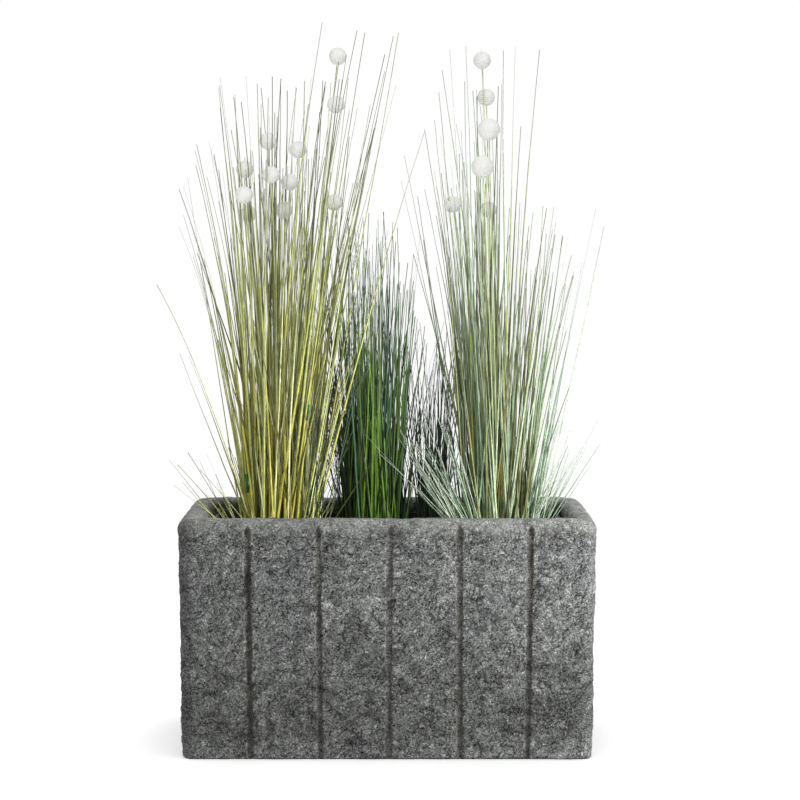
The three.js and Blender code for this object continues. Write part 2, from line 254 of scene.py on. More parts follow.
def stone_material():
    """
    Cast stone with a granite look: dark in its pits, brushed lighter on whatever stands out. Painted
    brown shade darkens the grooves; painted shade darkens short breaks between chips, the inner wall
    below the rim and the face towards the ground; the rim band is lighter, partly painted top light.
    One colour attribute holds groove, rim band and inner wall shade; the Relief attribute holds how
    far the surface stands out and the painted shade near the ground.
    """
    material, tree, bsdf = new_material("stone", roughness=0.8, specular=0.18)
    coordinates = object_coordinates(tree)
    damp = noise_node(tree, 6.0, coordinates, detail=3.0, roughness=0.6)
    swirl = noise_node(tree, 60.0, coordinates, detail=3.0, roughness=0.7)
    push = vector_node(tree, "MULTIPLY", swirl.outputs["Color"], (0.012, 0.012, 0.012))
    broken = vector_node(tree, "ADD", coordinates, push)
    turn = vector_node(tree, "MULTIPLY", damp.outputs["Color"], (0.16, 0.16, 0.16))
    along = streaked(tree, vector_node(tree, "ADD", broken, turn), slope=0.5, stretch=2.6)
    broad = noise_value(tree, 26.0, coordinates, detail=3.0, roughness=0.6)
    chips = noise_value(tree, 100.0, along, detail=1.0, roughness=0.6)
    grains = noise_value(tree, 240.0, broken, detail=1.0, roughness=0.6)
    specks = noise_value(tree, 430.0, coordinates, detail=0.0)
    crease_shade = crease_shade_mask(tree, along, 60.0, broad)
    standing_out, painted_low_shade, _ = attribute_parts(tree, "Relief")
    in_groove, in_band, inner_wall_shade = attribute_parts(tree, "GrooveBandAndShade")

    height = 0.0
    shares = ((broad, 0.16), (chips, 0.16), (grains, 0.32), (specks, 0.3), (standing_out, 0.06))
    for pattern, share in shares:
        height = math_node(tree, "MULTIPLY_ADD", pattern, share, height)
    colour = ramp(tree, height, [
        (0.385, (0.012, 0.012, 0.012)),
        (0.435, (0.052, 0.054, 0.052)),
        (0.472, (0.112, 0.116, 0.112)),
        (0.545, (0.168, 0.173, 0.168)),
        (0.6, (0.262, 0.269, 0.261)),
        (0.66, (0.47, 0.479, 0.464)),
    ])
    # Painted shade in short breaks between chips.
    colour = mix(tree, crease_shade, colour, tinted(tree, colour, (0.3, 0.3, 0.3)))
    patches = ramp(tree, damp.outputs["Fac"], [(0.35, (0.86, 0.86, 0.87)), (0.65, (1.1, 1.1, 1.09))])
    colour = tinted(tree, colour, patches)
    # Painted shade: the face darkens towards the ground.
    colour = mix(tree, painted_low_shade, colour, tinted(tree, colour, (0.66, 0.66, 0.65)))
    # Painted shade in the grooves: darkened and tinted brown.
    brown_groove_shade = mix(tree, 0.45, colour, (0.058, 0.052, 0.044))
    colour = mix(tree, in_groove, colour, tinted(tree, brown_groove_shade, (0.74, 0.71, 0.67)))
    # The rim band is plainer and lighter, partly painted top light.
    rim = mix(tree, 0.4, tinted(tree, colour, (1.15, 1.15, 1.12)), (0.15, 0.152, 0.145))
    colour = mix(tree, in_band, colour, rim)
    # Painted shade on the inner wall, darker further below the rim.
    colour = mix(tree, inner_wall_shade, colour, tinted(tree, colour, (0.42, 0.42, 0.43)))
    flakes = facets(tree, along, 70.0)
    slivers = facets(tree, broken, 190.0)
    dress(tree, bsdf, colour, [(flakes, 0.012), (slivers, 0.003), (grains, 0.001)])
    return material


def plastic_material(name, colour, roughness):
    """Moulded plastic: faint flow mottling and dust on a fine grain."""
    material, tree, bsdf = new_material(name, roughness, 0.4)
    mottle = noise_value(tree, 40.0, detail=5.0, roughness=0.6)
    dusty = tuple(channel * 1.8 + 0.004 for channel in colour)
    shade = ramp(tree, mottle, [(0.35, colour), (0.75, dusty)])
    rough = map_range(tree, mottle, 0.0, 1.0, roughness - 0.1, roughness + 0.12, "LINEAR")
    tree.links.new(rough, bsdf.inputs["Roughness"])
    dress(tree, bsdf, shade, [(noise_value(tree, 900.0), 0.0002)])
    return material


def crumb_material(name, dark, light, scale):
    """Bark or soil: patches of dark and light over a rough grain."""
    material, tree, bsdf = new_material(name, 0.95, 0.15)
    patches = noise_value(tree, scale, detail=6.0, roughness=0.7)
    fibres = noise_value(tree, scale * 5.0, detail=4.0, roughness=0.7)
    colour = ramp(tree, patches, [(0.35, dark), (0.65, light)])
    dress(tree, bsdf, colour, [(patches, 0.002), (fibres, 0.0008)])
    return material


def blade_material():
    """Printed grass blades: each blade's own colour with fine veins along it."""
    material, tree, bsdf = new_material("blade", roughness=0.52, specular=0.25)
    coordinates = object_coordinates(tree)
    stretch = tree.nodes.new("ShaderNodeMapping")
    stretch.inputs["Scale"].default_value = (1.0, 1.0, 0.03)
    tree.links.new(coordinates, stretch.inputs["Vector"])
    veins = noise_value(tree, 900.0, stretch.outputs["Vector"])
    blotches = noise_value(tree, 55.0, coordinates, detail=3.0)
    veined = ramp(tree, veins, [(0.38, (0.72, 0.72, 0.72)), (0.62, (1.18, 1.18, 1.14))])
    blotched = ramp(tree, blotches, [(0.35, (0.82, 0.82, 0.84)), (0.65, (1.12, 1.12, 1.08))])
    colour = tinted(tree, attribute_node(tree, "Tint").outputs["Color"], veined)
    dress(tree, bsdf, tinted(tree, colour, blotched), [(veins, 0.0003)])
    return material


def pompom_material():
    """White plush: light soaks into the pile, which leaves only soft shadow and a faint warm cast."""
    material, tree, bsdf = new_material("pompom", roughness=1.0, specular=0.1, more={
        "Subsurface Weight": 0.6,
        "Subsurface Radius": (1.0, 1.0, 1.0),
        "Subsurface Scale": 0.006,
        "Sheen Weight": 0.4,
        "Sheen Roughness": 0.6,
    })
    pile = noise_value(tree, 500.0, detail=3.0)
    clumps = noise_value(tree, 110.0, detail=3.0)
    colour = ramp(tree, clumps, [(0.32, (0.88, 0.88, 0.85)), (0.68, (0.95, 0.95, 0.92))])
    dress(tree, bsdf, colour, [(clumps, 0.0006), (pile, 0.0002)])
    return material


def floor_material():
    """White paper that glows a little."""
    glow = {"Emission Color": (1.0, 1.0, 1.0, 1.0), "Emission Strength": 0.34}
    material, tree, bsdf = new_material("floor", 0.9, 0.1, glow)
    colour = ramp(tree, noise_value(tree, 3.0), [(0.3, (0.93, 0.93, 0.93)), (0.7, (0.95, 0.95, 0.95))])
    tree.links.new(colour, bsdf.inputs["Base Color"])
    return material


MATERIALS = {
    "stone": stone_material(),
    "black_plastic": plastic_material("black_plastic", (0.006, 0.006, 0.006), 0.72),
    "bark": crumb_material("bark", (0.007, 0.005, 0.004), (0.035, 0.023, 0.014), 160.0),
    "soil": crumb_material("soil", (0.005, 0.004, 0.003), (0.02, 0.015, 0.01), 260.0),
    "blade": blade_material(),
    "stem": plastic_material("stem", (0.2, 0.23, 0.11), 0.5),
    "pompom": pompom_material(),
    "floor": floor_material(),
}

# ---- mesh helpers


def make_object(name, vertices, faces, material, smooth=True):
    mesh = bpy.data.meshes.new(name)
    mesh.from_pydata(vertices, [], faces)
    mesh.update()
    mesh.polygons.foreach_set("use_smooth", [smooth] * len(mesh.polygons))
    mesh.materials.append(MATERIALS[material])
    obj = bpy.data.objects.new(name, mesh)
    scene.collection.objects.link(obj)
    return obj


def set_point_colours(obj, name, colours):
    attribute = obj.data.color_attributes.new(name, "FLOAT_COLOR", "POINT")
    rgba = np.ones((len(colours), 4), dtype=np.float32)
    rgba[:, :3] = colours
    attribute.data.foreach_set("color", rgba.ravel())


def tube_faces(first, around, rings):
    """Quads that skin `rings` rings of `around` points from index `first`, closed by a face at each end."""
    faces = []
    for ring in range(rings - 1):
        start = first + ring * around
        for k in range(around):
            following = (k + 1) % around
            faces.append((start + k, start + following, start + around + following, start + around + k))
    last = first + (rings - 1) * around
    faces.append(tuple(first + k for k in reversed(range(around))))
    faces.append(tuple(last + k for k in range(around)))
    return faces


def circle(centre_x, centre_y, radius, z, sides):
    angles = [2 * pi * k / sides for k in range(sides)]
    return [(centre_x + radius * cos(a), centre_y + radius * sin(a), z) for a in angles]


def footprint(node_name):
    """Centre and radius of an upright round node, seen from above."""
    low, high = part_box(node_name)
    return (low.x + high.x) / 2, (low.y + high.y) / 2, (high.x - low.x) / 2


# ---- the trough


def spread(low, high, step):
    """Evenly spaced values from low up to but not including high."""
    count = max(1, round((high - low) / step))
    return [low + (high - low) * k / count for k in range(count)]


def groove_places(length, panels):
    return [length * (k / panels - 0.5) for k in range(1, panels)]


def side_stations(half_straight, grooves):
    """Places along one straight side: close together at the grooves, wider apart between them."""
    stations = []
    at = -half_straight
    for groove in grooves:
        stations += spread(at, groove - GROOVE_MARGIN, MESH_STEP)
        at = groove + GROOVE_MARGIN
        stations += spread(groove - GROOVE_MARGIN, at, GROOVE_STEP)
    stations += spread(at, half_straight, MESH_STEP)
    return stations


LONG_GROOVES = groove_places(LENGTH, PANELS_ALONG_LENGTH)
SHORT_GROOVES = groove_places(DEPTH, PANELS_ALONG_DEPTH)
LONG_STATIONS = side_stations(LENGTH / 2 - CORNER_RADIUS, LONG_GROOVES)
SHORT_STATIONS = side_stations(DEPTH / 2 - CORNER_RADIUS, SHORT_GROOVES)
# How far each long-face groove strays to the right, in metres: at the foot and at the top.
GROOVE_STRAYS = ((0.005, 0.0), (0.0045, 0.0015), (0.0015, 0.005), (0.0055, 0.003), (0.0005, 0.0055))
LONG_FIXED = LONG_GROOVES[-1] + FIXED_MARGIN
SHORT_FIXED = SHORT_GROOVES[-1] + FIXED_MARGIN
CORNER_STEPS = 10


def refit(place, fixed, half_from, half_to):
    """Keeps places up to `fixed` where they are, and stretches the rest to end at half_to."""
    if abs(place) <= fixed:
        return place
    share = (abs(place) - fixed) / (half_from - fixed)
    return copysign(fixed + share * (half_to - fixed), place)


def trough_ring(inset, z):
    """One level ring, counter-clockwise from above, starting at the front left."""
    half_x, half_y = LENGTH / 2 - inset, DEPTH / 2 - inset
    radius = max(CORNER_RADIUS - inset, TIGHT_CORNER_RADIUS)
    long_side = (LONG_STATIONS, LONG_FIXED, LENGTH / 2 - CORNER_RADIUS, half_x - radius)
    short_side = (SHORT_STATIONS, SHORT_FIXED, DEPTH / 2 - CORNER_RADIUS, half_y - radius)
    # Each side's stations, the way along it, its middle, and the corner at its end.
    sides = (
        (long_side, (1, 0), (0, -half_y), (1, -1)),
        (short_side, (0, 1), (half_x, 0), (1, 1)),
        (long_side, (-1, 0), (0, half_y), (-1, 1)),
        (short_side, (0, -1), (-half_x, 0), (-1, -1)),
    )
    ring = []
    for turn, ((stations, *stretch), along, middle, corner) in enumerate(sides):
        for station in stations:
            place = refit(station, *stretch)
            ring.append((middle[0] + along[0] * place, middle[1] + along[1] * place, z))
        for step in range(CORNER_STEPS):
            angle = (turn - 1 + step / CORNER_STEPS) * pi / 2
            ring.append((
                corner[0] * (half_x - radius) + radius * cos(angle),
                corner[1] * (half_y - radius) + radius * sin(angle),
                z,
            ))
    return ring


def arc_levels(centre_inset, centre_z, radius, start, end, steps):
    angles = [start + (end - start) * step / steps for step in range(steps + 1)]
    return [(centre_inset + radius * cos(angle), centre_z + radius * sin(angle)) for angle in angles]


def trough_levels():
    """(inset, height, roughness weight) rows from the underside, up the outside, over the rim and down."""
    rows = [(DRAFT + FOOT_CHAMFER, 0.0, 0.0), (DRAFT + 0.002, 0.002, 0.5)]
    wall_top = HEIGHT - RIM_OUTER_RADIUS
    for z in spread(FOOT_CHAMFER, wall_top, MESH_STEP):
        rows.append((DRAFT * (1 - z / wall_top), z, 1.0))
    outer = arc_levels(RIM_OUTER_RADIUS, wall_top, RIM_OUTER_RADIUS, pi, pi / 2, 8)
    inner = arc_levels(RIM_WIDTH - RIM_INNER_RADIUS, HEIGHT - RIM_INNER_RADIUS, RIM_INNER_RADIUS,
                       pi / 2, 0.0, 5)
    flat = [((outer[-1][0] + inner[0][0]) / 2, HEIGHT)]
    rows += [(inset, z, 1.0) for inset, z in outer + flat + inner]
    for z in spread(HEIGHT - RIM_INNER_RADIUS - MESH_STEP, LIP_BOTTOM, MESH_STEP):
        rows.append((RIM_WIDTH, z, 1.0))
    lip_back = RIM_WIDTH - WALL_THICKNESS
    under_rim = HEIGHT - RIM_THICKNESS
    rows += [
        (RIM_WIDTH, LIP_BOTTOM, 0.3),
        (lip_back, LIP_BOTTOM, 0.0),
        (lip_back, under_rim, 0.0),
        (WALL_THICKNESS + 0.006, under_rim, 0.0),
        (WALL_THICKNESS, under_rim - 0.006, 0.0),
    ]
    for z in spread(LIP_BOTTOM, FLOOR_THICKNESS, INNER_WALL_STEP):
        share = 1 - z / wall_top
        rows.append((WALL_THICKNESS + DRAFT * share, z, 0.0))
    rows.append((DRAFT + WALL_THICKNESS, FLOOR_THICKNESS, 0.0))
    return rows


def smoothstep(low, high, value):
    t = min(1.0, max(0.0, (value - low) / (high - low)))
    return t * t * (3 - 2 * t)


def groove_share(x, y, z):
    """1 in the middle of a groove, 0 on the open face."""
    on_long_face = abs(y) > DEPTH / 2 - RIM_OUTER_RADIUS and abs(x) < LENGTH / 2 - CORNER_RADIUS
    on_short_face = abs(x) > LENGTH / 2 - RIM_OUTER_RADIUS and abs(y) < DEPTH / 2 - CORNER_RADIUS
    if not (on_long_face or on_short_face):
        return 0.0
    place, grooves, seed = (x, LONG_GROOVES, x) if on_long_face else (y, SHORT_GROOVES, y + 3.0)
    distance = min(abs(place - groove) for groove in grooves)
    wobble = 0.0011 * noise.noise(Vector((seed * 4.0, z * 22.0, 1.7)))
    width = GROOVE_HALF_WIDTH * (1.0 + 0.3 * noise.noise(Vector((seed * 4.0, z * 35.0, 8.3))))
    pointed = min(1.0, max(0.0, (GROOVE_TOP + 0.0015 - z) / GROOVE_POINT))
    width *= max(0.2, sqrt(pointed))
    across = max(0.0, 1.0 - ((distance + wobble) / width) ** 2)
    clogged = 0.25 * noise.noise(Vector((seed * 9.0, z * 50.0, 3.1)))
    clogged += 0.2 * noise.noise(Vector((seed * 7.0, 0.5, 6.3)))
    return sqrt(across) * smoothstep(0.0, 0.45, pointed) * min(1.0, 0.88 + clogged)


def groove_stray(x, z):
    """How far sideways the casting's hand-drawn grooves stray from their even places."""
    height = z / HEIGHT
    strays = [foot + (top - foot) * height for foot, top in GROOVE_STRAYS]
    return float(np.interp(x, (-LENGTH / 2, *LONG_GROOVES, LENGTH / 2), (0.0, *strays, 0.0)))


def corner_share(x, y):
    """1 on an upright corner, 0 from 55 mm away."""
    from_corner = max(LENGTH / 2 - abs(x), DEPTH / 2 - abs(y))
    return 1.0 - smoothstep(0.012, 0.055, from_corner)


def roughness_height(point):
    """How far the cast stone stands out at a point: broad lumps, slanting splits, chips and grain."""
    lumps = noise.fractal(point / LUMP_SIZE, 0.9, 2.1, 4)
    slanted = Vector((
        0.7 * point.x + 0.45 * point.z,
        0.7 * point.y + 0.45 * point.z,
        1.3 * point.z - 0.45 * (point.x + point.y),
    ))
    splits = noise.ridged_multi_fractal(slanted / SPLIT_SIZE, 0.9, 2.1, 3, 1.0, 2.0) - 1.1
    distances, seeds = noise.voronoi(slanted / CHIP_SIZE)
    edge = min(1.0, (distances[1] - distances[0]) * 1.6)
    facet = noise.cell(seeds[0] * 5.3)
    grain = noise.fractal(point / GRAIN_SIZE, 0.8, 2.0, 3)
    return (
        LUMP_HEIGHT * lumps
        + SPLIT_HEIGHT * splits
        + CHIP_HEIGHT * (0.55 * edge + 0.45 * facet - 0.5)
        + GRAIN_HEIGHT * grain
    )


def build_trough():
    rows = trough_levels()
    rings = [trough_ring(inset, z) for inset, z, _ in rows]
    around = len(rings[0])
    points = np.array(rings).reshape(-1, 3)
    faces = tube_faces(0, around, len(rings))
    obj = make_object("trough", points.tolist(), faces, "stone")
    normals = [vertex.normal.copy() for vertex in obj.data.vertices]
    groove_band_and_shade, relief = np.zeros((2, len(points), 3))
    for k, vertex in enumerate(obj.data.vertices):
        x, y, z = points[k]
        inset, _, weight = rows[k // around]
        inner = inset >= RIM_WIDTH - 0.001
        # Painted shade on the inner wall, growing from 12 mm to 45 mm below the rim.
        groove_band_and_shade[k, 2] = smoothstep(HEIGHT - 0.012, HEIGHT - 0.045, z) if inner else 0.0
        vertex.co.x += groove_stray(x, z)
        if weight == 0.0:
            continue
        uneven = 0.006 * noise.noise(Vector((x * 11.0, y * 11.0, 4.2)))
        in_band = smoothstep(RIM_BAND_BOTTOM - 0.004 + uneven, RIM_BAND_BOTTOM + 0.006 + uneven, z)
        calm = 1.0 - (1.0 - RIM_BAND_ROUGHNESS) * in_band
        calm *= 1.0 - (1.0 - CORNER_ROUGHNESS) * corner_share(x, y)
        groove = 0.0 if inner else groove_share(x, y, z)
        height = roughness_height(Vector((x, y, z))) * weight * calm * (1.0 - 0.75 * groove)
        ledge = LEDGE_HEIGHT * in_band * (1.0 - groove) * (1.0 - corner_share(x, y))
        notch = 1.0 + 0.5 * smoothstep(GROOVE_TOP - 0.022, GROOVE_TOP - 0.004, z)
        vertex.co += normals[k] * (height - GROOVE_DEPTH * groove * notch + ledge)
        # Masks for the painted groove shade and the partly painted rim band light.
        groove_band_and_shade[k, 0] = groove
        groove_band_and_shade[k, 1] = in_band
        relief[k, 0] = min(1.0, max(0.0, 0.5 + 0.5 * height / LUMP_HEIGHT))
        # Painted shade low on the face: full from about 3 to 5 cm up, gone by 34 cm.
        relief[k, 1] = (1.0 - smoothstep(0.03, 0.34, z)) * smoothstep(0.0, 0.05, z)
    set_point_colours(obj, "GrooveBandAndShade", groove_band_and_shade)
    set_point_colours(obj, "Relief", relief)
    obj.data.update()
    return obj


trough = build_trough()
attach(trough, "planter")
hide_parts("planter_shell")

# ---- liner, riser, pots and bark

def finish_cad_node(name, material):
    node = frame["nodes"][name]
    node.data.materials.clear()
    node.data.materials.append(MATERIALS[material])


finish_cad_node("liner", "black_plastic")
finish_cad_node("riser", "black_plastic")
finish_cad_node("bark_fill", "bark")


def lathe(name, centre_x, centre_y, profile, sides, material):
    """A closed turned piece from (radius, height) rows that start and end on its axis."""
    rings = profile[1:-1]
    vertices = [point for radius, z in rings for point in circle(centre_x, centre_y, radius, z, sides)]
    faces = tube_faces(0, sides, len(rings))[:-2]
    bottom, top = len(vertices), len(vertices) + 1
    vertices += [(centre_x, centre_y, profile[0][1]), (centre_x, centre_y, profile[-1][1])]
    last = bottom - sides
    for k in range(sides):
        following = (k + 1) % sides
        faces += [(bottom, following, k), (top, last + k, last + following)]
    return make_object(name, vertices, faces, material)


def build_pot(place):
    """A thin grow pot with a rolled lip and a step below it, in place of the plain CAD one."""
    centre_x, centre_y, lip = footprint(f"pot_{place}")
    bottom, top = (corner.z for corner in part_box(f"pot_{place}"))
    wall_top = lip - 0.004
    foot = wall_top - 0.01
    wall = 0.0025
    profile = [
        (0.0, bottom + 0.0015),
        (foot * 0.55, bottom + 0.0015),
        (foot * 0.6, bottom),
        (foot - 0.003, bottom),
        (foot, bottom + 0.003),
        (wall_top - 0.0035, top - 0.034),
        (wall_top - 0.0008, top - 0.031),
        (wall_top, top - 0.008),
        (lip - 0.0012, top - 0.008),
        (lip, top - 0.0065),
        (lip, top - 0.0016),
        (lip - 0.0014, top),
        (wall_top - wall + 0.0012, top),
        (wall_top - wall, top - 0.0014),
        (wall_top - wall - 0.0008, top - 0.031),
        (foot - wall, bottom + 0.006),
        (foot - wall - 0.002, bottom + 0.003),
        (0.0, bottom + 0.003),
    ]
    pot = lathe(f"grow_pot_{place}", centre_x, centre_y, profile, 72, "black_plastic")
    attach(pot, f"plant_{place}")
    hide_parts(f"pot_{place}")


for place in PLANTS:
    build_pot(place)
    finish_cad_node(f"filling_{place}", "soil")

# ---- loose bark and soil crumbs

BARK_CHIPS = 2600
BARK_MARGIN = 0.012
BARK_GAP = 0.002
SOIL_CRUMBS = 120000  # for a filling with a radius of 1 metre
SOIL_MARGIN = 0.006
CRUMB_FACES = 8


def crumb(vertices, faces, centre, size, rng):
    """One irregular chip: a jittered octahedron."""
    first = len(vertices)
    turn = rng.uniform(0, pi)
    long_side = size * rng.uniform(0.7, 1.4)
    short_side = size * rng.uniform(0.4, 0.8)
    thickness = size * rng.uniform(0.25, 0.5)
    tilt = rng.uniform(-0.4, 0.4)
    for dx, dy, dz in ((1, 0, 0), (0, 1, 0), (-1, 0, 0), (0, -1, 0), (0, 0, 1), (0, 0, -1)):
        x = dx * long_side * rng.uniform(0.8, 1.2)
        y = dy * short_side * rng.uniform(0.8, 1.2)
        z = dz * thickness * rng.uniform(0.8, 1.2) + x * tilt
        vertices.append((
            centre[0] + x * cos(turn) - y * sin(turn),
            centre[1] + x * sin(turn) + y * cos(turn),
            centre[2] + z,
        ))
    for k in range(4):
        following = (k + 1) % 4
        faces.append((first + k, first + following, first + 4))
        faces.append((first + following, first + k, first + 5))


def build_bark_chips():
    rng = random.Random(11)
    low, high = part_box("bark_fill")
    pots = [footprint(f"pot_{place}") for place in PLANTS]
    vertices, faces = [], []
    while len(faces) < CRUMB_FACES * BARK_CHIPS:
        x = rng.uniform(low.x + BARK_MARGIN, high.x - BARK_MARGIN)
        y = rng.uniform(low.y + BARK_MARGIN, high.y - BARK_MARGIN)
        size = rng.uniform(0.004, 0.009)
        if any(hypot(x - pot_x, y - pot_y) < radius + size + BARK_GAP for pot_x, pot_y, radius in pots):
            continue
        crumb(vertices, faces, (x, y, high.z + rng.uniform(0.0, 0.007)), size, rng)
    chips = make_object("bark_chips", vertices, faces, "bark", smooth=False)
    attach(chips, "insert")


def build_soil_crumbs(place):
    rng = random.Random(f"soil {place}")
    centre_x, centre_y, radius = footprint(f"filling_{place}")
    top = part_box(f"filling_{place}")[1].z
    reach = radius - SOIL_MARGIN
    vertices, faces = [], []
    for _ in range(int(reach * reach * SOIL_CRUMBS)):
        distance = reach * sqrt(rng.random())
        angle = rng.uniform(0, 2 * pi)
        x, y = centre_x + distance * cos(angle), centre_y + distance * sin(angle)
        z = top + rng.uniform(0.0, 0.003)
        crumb(vertices, faces, (x, y, z), rng.uniform(0.0025, 0.005), rng)
    crumbs = make_object(f"soil_crumbs_{place}", vertices, faces, "soil", smooth=False)
    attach(crumbs, f"plant_{place}")


build_bark_chips()
for place in PLANTS:
    build_soil_crumbs(place)

# ---- grass

BLADE_SEGMENTS = 13
BLADE_THICKNESS = 0.0006
BLADE_TIP_WIDTH = 0.0013
BEND_SPREAD = 0.8
BRIGHTNESS = (0.7, 1.2)
# Painted light on each blade: painted shade in its inner fold and a painted highlight on one edge.
FOLD_PAINTED_LIGHT = (0.93, 0.75, 1.08, 1.0)  # one edge of a blade, its fold, the other edge and its ridge
PLUG_SIDES = 24
PLUG_RADIUS = 0.015
PLUG_TOP = 0.404
PLUG_COLOUR = (0.02, 0.05, 0.018)
SLEEVE_SHARE = 0.05
SLEEVE_COLOUR = (0.01, 0.2, 0.075)
SLEEVES_FROM_LENGTH = 0.6
SLEEVES_PER_BLADE = {"left": 0.035}
# How far blades may reach, so that the plants stay in the space their CAD bunches take up.
REACH_X = (-0.458, 0.425)
REACH_Y = (-0.205, 0.202)
REACH_TOP = 1.405
ROOM_CLEARANCE = 0.003


# One kind of blade in a plant. root is the x and y offset of its patch from the plant's centre and
# the patch's radius; lean is the mean tilt to the right, its spread, the mean tilt to the back and
# its spread, in degrees; length is mean, spread, least and most; width is least and most; fan is
# how many degrees a blade tilts outwards, in x and in y, at the patch's edge; bend is how many more
# degrees it tilts by its tip; crinkle is how unevenly it runs.
Growth = namedtuple(
    "Growth",
    "count root lean length width fan bend crinkle palette",
    defaults=((0.0, 3.0), 5.0, 0.009, "main"),
)

GROWTHS = {
    "left": [
        Growth(108, (0.002, 0, 0.068), (0.4, 2.4, 0, 3), (0.765, 0.105, 0.46, 0.91), (0.0036, 0.0074),
            fan=(1.4, 4), bend=6.5),
        Growth(42, (0.02, -0.02, 0.05), (7.5, 3.4, -2.5, 2), (0.78, 0.135, 0.5, 1.02), (0.0034, 0.0066),
            bend=4.5),
        Growth(32, (-0.04, 0, 0.04), (-6.5, 3, 0, 3), (0.64, 0.09, 0.45, 0.8), (0.0032, 0.0062), bend=9),
        Growth(88, (0, 0, 0.078), (0, 8, 0, 4), (0.37, 0.13, 0.08, 0.6), (0.0028, 0.0062), fan=(6, 4),
            crinkle=0.012),
        Growth(28, (-0.055, -0.03, 0.034), (-26, 9, 0, 5), (0.13, 0.045, 0.05, 0.21), (0.0022, 0.0038),
            bend=3, crinkle=0.004),
        Growth(34, (0.055, -0.03, 0.036), (15, 11, 0, 5), (0.125, 0.045, 0.04, 0.22), (0.0022, 0.0042),
            bend=3, crinkle=0.004),
        Growth(50, (0.052, -0.04, 0.036), (7, 11, 0, 3), (0.32, 0.1, 0.12, 0.52), (0.0014, 0.0026), bend=6,
            crinkle=0.03, palette="wiry"),
    ],
    "centre": [
        Growth(150, (-0.002, 0, 0.056), (0, 2.8, 0, 2.4), (0.52, 0.08, 0.28, 0.655), (0.0028, 0.0058),
            fan=(2, 3), bend=3.5, crinkle=0.012),
        Growth(76, (0, 0, 0.068), (0, 6, 2, 3.5), (0.33, 0.1, 0.1, 0.52), (0.0024, 0.005), fan=(4, 3),
            crinkle=0.014),
        Growth(78, (-0.042, 0.01, 0.032), (-11, 9, 2, 2.5), (0.31, 0.085, 0.1, 0.48), (0.0014, 0.0026),
            bend=6, crinkle=0.04, palette="wiry"),
        Growth(22, (0.045, 0.01, 0.025), (5, 6, 2, 3), (0.29, 0.08, 0.1, 0.46), (0.0014, 0.0026), bend=6,
            crinkle=0.045, palette="wiry"),
    ],
    "rear": [
        Growth(50, (0, 0, 0.028), (0, 3, 0, 3), (0.345, 0.06, 0.16, 0.44), (0.0022, 0.0046), fan=(2.5, 3),
            crinkle=0.03, bend=3),
        Growth(50, (0, 0, 0.03), (0, 8.5, 0, 5), (0.265, 0.08, 0.08, 0.4), (0.0015, 0.0028), fan=(5, 3),
            bend=6, crinkle=0.05, palette="wiry"),
    ],
    "right": [
        Growth(70, (-0.022, 0, 0.05), (-1.6, 1.8, 0, 3), (0.74, 0.15, 0.46, 0.97), (0.0034, 0.0068),
            fan=(1, 3), bend=4),
        Growth(50, (0, 0, 0.056), (-0.2, 3.2, 0, 3), (0.54, 0.08, 0.35, 0.72), (0.0036, 0.0072), fan=(3, 4),
            bend=4, palette="core"),
        Growth(24, (0.036, 0, 0.042), (6.5, 3.4, 0, 3), (0.56, 0.075, 0.35, 0.7), (0.003, 0.0058)),
        Growth(24, (-0.04, 0.02, 0.04), (-7, 3.2, 2, 2), (0.67, 0.13, 0.4, 0.99), (0.003, 0.0054)),
        Growth(62, (-0.004, -0.01, 0.07), (0, 8.5, 0, 4), (0.32, 0.11, 0.1, 0.54), (0.0028, 0.0058),
            fan=(6, 4), crinkle=0.012),
        Growth(70, (-0.055, -0.03, 0.032), (-25, 9, -6, 4), (0.215, 0.065, 0.08, 0.34), (0.0022, 0.0042),
            crinkle=0.012, palette="silver"),
        Growth(50, (0.045, -0.01, 0.036), (19, 9, 0, 5), (0.18, 0.065, 0.05, 0.32), (0.0022, 0.0042), bend=6,
            crinkle=0.012, palette="silver"),
    ],
}

